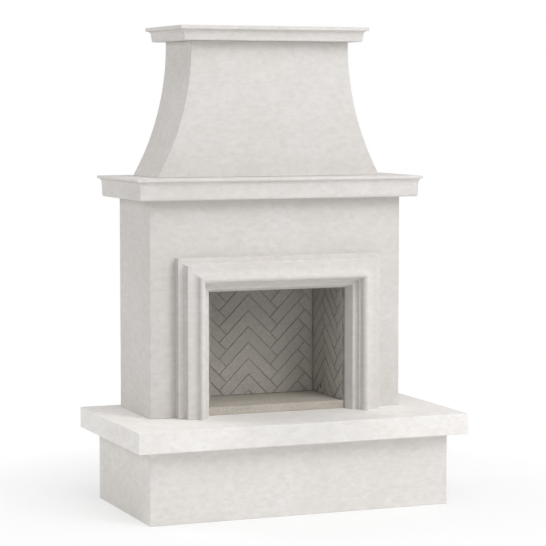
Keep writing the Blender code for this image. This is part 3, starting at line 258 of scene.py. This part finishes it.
def stand_in(bm, name, node, material):
    """Makes the finished mesh a piece of the fireplace, in place of the CAD node."""
    mesh = bpy.data.meshes.new(name)
    bm.to_mesh(mesh)
    bm.free()
    mesh.materials.append(material)
    piece = bpy.data.objects.new(name, mesh)
    bpy.context.scene.collection.objects.link(piece)
    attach(piece, "fireplace")
    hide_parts(node)
    return piece


def cast_copy(name, node, material, arris=0.0018):
    """A piece cast from its CAD solid, its coves smooth and its long outer arrises eased by arris."""
    shortest_eased = 8 * arris
    arris_turn = math.radians(38.0)
    smooth_turn = math.radians(32.0)
    bm = merged_copy(node)
    if arris:
        sharp = [edge for edge in bm.edges if edge.is_manifold and edge.calc_length() > shortest_eased
                 and edge.calc_face_angle_signed() > arris_turn]
        round_over(bm, sharp, arris)
    for face in bm.faces:
        face.smooth = True
    piece = stand_in(bm, name, node, material)
    piece.data.set_sharp_from_angle(angle=smooth_turn)
    shading = piece.modifiers.new("faces_flat", "WEIGHTED_NORMAL")
    shading.keep_sharp = True
    shading.weight = 60


floor_clay = refractory("floor_clay", (0.56, 0.52, 0.46), (0.65, 0.55, 0.49))[0]
cast_copy("floor_slab", "firebox_floor", floor_clay, arris=0.0035)


# Firebox walls: three refractory panels cast with bricks laid in herringbone, 239 by 59 mm, raised
# from sunk mortar joints. Each brick has its own tone, and its arrises are worn a little.
def brick_clay(name, colour, mortar, axis, brick_at, corner=None):
    """Fire clay with mortar in the joints behind the bricks' faces, and down the corners if asked."""
    joint_from = 0.0007
    joint_full = 0.0016
    seam_from = 0.009
    seam_full = 0.006
    blush = tinge(colour, (1.12, 1.0, 0.94))
    material, tree, shader, place, tone = refractory(name, colour, blush)
    own = wire(tree, "Attribute", attribute_name="brick_tone").outputs["Fac"]
    tone = stain(tree, tone, shade(colour, 0.80), own, 0.0, 1.0, share=0.55)
    parts = wire(tree, "SeparateXYZ", {"Vector": place}).outputs
    across = calc(tree, "ABSOLUTE", parts["X"])
    depth = across if axis == "X" else parts["Y"]
    sunk = spread(tree, depth, brick_at + joint_from, brick_at + joint_full)
    if corner is not None:
        seam = spread(tree, across, corner - seam_from, corner - seam_full)
        sunk = calc(tree, "MAXIMUM", sunk, seam)
    uneven = noise(tree, place, scale=11.0, detail=4.0, roughness=0.6)
    filled = spread(tree, uneven, 0.42, 0.62, to_start=1.0, to_end=0.5)
    tone = blend_colours(tree, calc(tree, "MULTIPLY", sunk, filled), tone, mortar)
    tree.links.new(tone, shader.inputs["Base Color"])
    return material


def brick_panel(name, node, material, axis, brick_at, seed):
    """A wall panel: every brick's edges worn, and a tone of its own for each brick."""
    near_enough = 0.0002
    mortar_tone = 0.5
    side_on = 0.5
    brick_arris = 0.0011
    way = "XYZ".index(axis)
    bm = merged_copy(node)
    tones = bm.faces.layers.float.new("brick_tone")
    pick = random.Random(seed)
    worn = set()
    for face in bm.faces:
        face[tones] = mortar_tone
    for face in bm.faces:
        if all(abs(abs(corner.co[way]) - brick_at) < near_enough for corner in face.verts):
            own = pick.random()
            face[tones] = own
            for edge in face.edges:
                worn.add(edge)
                for beside in edge.link_faces:
                    if beside is not face and abs(beside.normal[way]) < side_on:
                        beside[tones] = own
    round_over(bm, list(worn), brick_arris)
    stand_in(bm, name, node, material)


back_face = min(corner.co.y for corner in nodes["firebox_back_wall"].data.vertices)
side_face = min(abs(corner.co.x) for corner in nodes["firebox_right_wall"].data.vertices)
brick_colour = (0.555, 0.530, 0.487)
mortar_colour = (0.345, 0.322, 0.285)
# Painted shade: the side panels' joints get the back's mortar made darker.
side_mortar_painted_shade = shade(mortar_colour, 0.6)
back_clay = brick_clay("back_bricks", brick_colour, mortar_colour, "Y", back_face, corner=side_face)
side_clay = brick_clay("side_bricks", brick_colour, side_mortar_painted_shade, "X", side_face)
brick_panel("back_wall", "firebox_back_wall", back_clay, "Y", back_face, seed=3)
brick_panel("left_wall", "firebox_left_wall", side_clay, "X", side_face, seed=5)
brick_panel("right_wall", "firebox_right_wall", side_clay, "X", side_face, seed=8)


# Behind the panels: soft fibre board in a folded jacket of galvanised sheet, a gas sleeve in the
# right-hand wall, and a steel angle that carries the head of the mouth.
def fibre_board(name, colour):
    """Pressed mineral fibre: upright strands, felted in soft patches."""
    material, tree, shader, place = blank(name)
    fibres = wire(tree, "Mapping", {"Vector": place, "Scale": (1.0, 1.0, 0.12)}).outputs["Vector"]
    strands = noise(tree, fibres, scale=420.0, detail=4.0, roughness=0.7)
    felt = noise(tree, place, scale=60.0, detail=4.0)
    tone = stain(tree, colour, shade(colour, 0.82), strands, 0.3, 0.7)
    tone = stain(tree, tone, shade(colour, 0.9), felt, 0.4, 0.7, share=0.4)
    bumps = relief(tree, strands, strength=0.5, depth=0.0008)
    fill(tree, shader, {"Base Color": tone, "Roughness": 0.96, "Normal": bumps})
    return material


def galvanised(name, colour):
    """Zinc-dipped steel: dull grey, in crystals almost a centimetre across."""
    material, tree, shader, place = blank(name)
    crystals = wire(tree, "TexVoronoi", {"Vector": place, "Scale": 110.0}, feature="F1")
    grey = wire(tree, "RGBToBW", {"Color": crystals.outputs["Color"]}).outputs["Val"]
    dulled = noise(tree, place, scale=9.0, detail=5.0, roughness=0.6)
    tone = blend_colours(tree, grey, shade(colour, 0.86), shade(colour, 1.1))
    tone = stain(tree, tone, (0.38, 0.38, 0.37), dulled, 0.48, 0.72, share=0.35)
    rough = spread(tree, grey, 0.0, 1.0, to_start=0.34, to_end=0.52)
    bumps = relief(tree, dulled, strength=0.3, depth=0.0006)
    fill(tree, shader, {"Base Color": tone, "Roughness": rough, "Metallic": 1.0, "Normal": bumps})
    return material


board = fibre_board("insulation_fibre", (0.72, 0.70, 0.64))
for side in ("left", "right", "back"):
    dress("insulation_" + side, board)
zinc = galvanised("zinc_dipped_steel", (0.58, 0.59, 0.60))
for node in ("firebox_casing", "gas_sleeve", "smoke_dome",
             "lintel_angle", "lintel_bolt_left", "lintel_bolt_right"):
    dress(node, zinc)


# Throat damper: an iron frame on the smoke dome with an iron blade in it, pinned to a steel shaft
# and swung by a lever that hangs inside the dome. Cast iron, blackened by heat.
def black_iron(name, colour):
    """Cast iron with a sandy grain, blackened, with a brownish scale in patches."""
    material, tree, shader, place = blank(name)
    grain = noise(tree, place, scale=520.0, roughness=0.6)
    scale = noise(tree, place, scale=30.0, detail=5.0, roughness=0.65)
    tone = stain(tree, colour, (0.075, 0.052, 0.040), scale, 0.50, 0.70, share=0.6)
    rough = spread(tree, scale, 0.3, 0.7, to_start=0.50, to_end=0.78)
    bumps = relief(tree, grain, strength=0.5, depth=0.0007)
    fill(tree, shader, {"Base Color": tone, "Roughness": rough, "Metallic": 0.6, "Normal": bumps})
    return material


iron = black_iron("blackened_iron", (0.045, 0.043, 0.042))
for node in ("damper_frame", "damper_blade", "damper_lever"):
    dress(node, iron)
for node in ("damper_shaft", "damper_pin_left", "damper_pin_right",
             "damper_collar_left", "damper_collar_right", "damper_lever_bolt"):
    dress(node, zinc)


# Flue: a hood and two lengths of stainless liner, with a locking band at their joint and a spacer
# that centres them in the stack.
def stainless(name, colour):
    """Rolled stainless sheet, drawn upwards in fine lines and faintly dulled by heat."""
    material, tree, shader, place = blank(name)
    drawn = wire(tree, "Mapping", {"Vector": place, "Scale": (1.0, 1.0, 0.05)}).outputs["Vector"]
    lines = noise(tree, drawn, scale=600.0, detail=2.0, roughness=0.6)
    heat = noise(tree, place, scale=6.0, detail=4.0)
    tone = stain(tree, colour, (0.42, 0.40, 0.40), heat, 0.45, 0.70, share=0.4)
    rough = spread(tree, lines, 0.3, 0.7, to_start=0.24, to_end=0.40)
    bumps = relief(tree, lines, strength=0.12, depth=0.0004)
    fill(tree, shader, {"Base Color": tone, "Roughness": rough, "Metallic": 1.0, "Normal": bumps})
    return material


liner = stainless("rolled_stainless", (0.60, 0.595, 0.585))
for node in ("flue_transition", "flue_pipe_lower", "flue_pipe_upper"):
    dress(node, liner)
for node in ("flue_locking_band", "flue_spacer"):
    dress(node, zinc)


# Surround: three mitred mouldings round the mouth, two jambs that stand on the hearth and a head,
# with a splayed reveal, a cove, a bold bead and a flat band. Bonded to the body.
# Painted shade: the surround's concrete is the plinth's colour made darker.
surround_concrete = cast_concrete("surround_concrete", (0.719, 0.697, 0.666), (5.2, 1.1, 3.3))
cast_copy("left_jamb", "surround_left_jamb", surround_concrete)
cast_copy("right_jamb", "surround_right_jamb", surround_concrete)
cast_copy("head_moulding", "surround_head", surround_concrete)


# Mantel: a single moulded casting on the body, with a rounded toe, a plain face, a cove and a top
# fillet, mitred round all four sides.
# Painted shade: the mantel's concrete, also used on the cap, is the plinth's colour made darker.
mantel_concrete = cast_concrete("mantel_concrete", (0.718, 0.697, 0.67), (2.4, 6.1, 0.9))
cast_copy("mantel", "mantel_shelf", mantel_concrete)


# Chimney: a hollow stack that sweeps in at both sides in a long concave curve, plumb at front and
# back, with the moulded cap set on it.
# Painted shade: the chimney's concrete is the plinth's colour made darker.
chimney_concrete = cast_concrete("chimney_concrete", (0.686, 0.665, 0.636), (0.6, 2.9, 5.7))
cast_copy("chimney", "chimney_shell", chimney_concrete, arris=0.0)
cast_copy("cap", "chimney_cap", mantel_concrete)


# Flue outlet: a stainless ring that closes the gap between the flue and the cap, and a round
# screen of stainless bars, both let into the cap's top.
for node in ("flue_top_flange", "spark_screen"):
    dress(node, liner)


# Brackets and bolts: zinc-dipped steel angles in the corners where the modules stand on one
# another, each held by one bolt through its flat leg and one through its wall leg.
for joint in ("body_foot", "mantel", "chimney_foot"):
    for side in ("left", "right"):
        for part in ("bracket", "bolt_flat", "bolt_wall"):
            dress("%s_%s_%s" % (joint, side, part), zinc)


# Setting: a plain pale floor that keeps the fireplace's shadow, in a white surround, under soft
# studio light from large lamps above, in front, at the right and at the back left.
def seen_directly(tree):
    """One where the camera, a reflection or clear glass looks straight at the surroundings."""
    ray = wire(tree, "LightPath").outputs
    seen = calc(tree, "MAXIMUM", ray["Is Camera Ray"], ray["Is Glossy Ray"])
    return calc(tree, "MAXIMUM", seen, ray["Is Transmission Ray"])


def pale_floor(name, colour):
    """Pale floor that shows its shadows near the fireplace and fades to white farther out."""
    fade_from = 1.0
    fade_to = 2.2
    near_white_share = 0.55
    material, tree, shader, place = blank(name)
    patches = noise(tree, place, scale=3.0, detail=4.0)
    tone = stain(tree, colour, shade(colour, 0.995), patches, 0.4, 0.6)
    fill(tree, shader, {"Base Color": tone, "Roughness": 0.9})
    away = wire(tree, "VectorMath", {0: place}, operation="LENGTH").outputs["Value"]
    fade = spread(tree, away, fade_from, fade_to, near_white_share, 1.0)
    share = calc(tree, "MULTIPLY", seen_directly(tree), fade)
    white = wire(tree, "Emission", {"Strength": 1.0}).outputs["Emission"]
    mixed = wire(tree, "MixShader", {0: share, 1: shader.outputs["BSDF"], 2: white}).outputs["Shader"]
    tree.links.new(mixed, tree.nodes["Material Output"].inputs["Surface"])
    return material


floor_reach = 60.0
floor_drop = 0.0005
ground = bmesh.new()
bmesh.ops.create_grid(ground, x_segments=1, y_segments=1, size=floor_reach)
bmesh.ops.translate(ground, verts=ground.verts, vec=(0.0, 0.0, -floor_drop))
floor_mesh = bpy.data.meshes.new("studio_floor")
ground.to_mesh(floor_mesh)
ground.free()
floor_mesh.materials.append(pale_floor("studio_floor", (0.93, 0.93, 0.93)))
floor = bpy.data.objects.new("studio_floor", floor_mesh)
bpy.context.scene.collection.objects.link(floor)

ambient = 0.361
white_strength = 1.0
world = bpy.data.worlds.new("studio")
bpy.context.scene.world = world
world.use_nodes = True
sky = world.node_tree
strength = spread(sky, seen_directly(sky), 0.0, 1.0, ambient, white_strength)
fill(sky, sky.nodes["Background"], {"Strength": strength, "Color": (1.0, 1.0, 1.0, 1.0)})


def softbox(name, place, width, height, power):
    """A large soft lamp turned to the middle of the fireplace."""
    middle = Vector((0.0, 0.0, 1.2))
    lamp = bpy.data.lights.new(name, "AREA")
    lamp.shape = "RECTANGLE"
    lamp.size = width
    lamp.size_y = height
    lamp.energy = power
    holder = bpy.data.objects.new(name, lamp)
    bpy.context.scene.collection.objects.link(holder)
    holder.location = place
    holder.rotation_euler = (middle - Vector(place)).to_track_quat("-Z", "Y").to_euler()


softbox("key_box", (4.5, -8.0, 6.5), width=4.0, height=4.0, power=291.0)
softbox("overhead_box", (0.0, -0.6, 7.0), width=5.0, height=4.0, power=50.0)
softbox("front_box", (0.0, -10.0, 2.5), width=5.0, height=3.0, power=25.0)
softbox("top_front_box", (0.0, -5.0, 8.0), width=6.0, height=4.0, power=232.0)
softbox("right_box", (8.0, -3.0, 3.5), width=4.0, height=4.0, power=126.0)
softbox("rear_box", (-7.0, 4.5, 4.0), width=4.0, height=4.0, power=222.0)
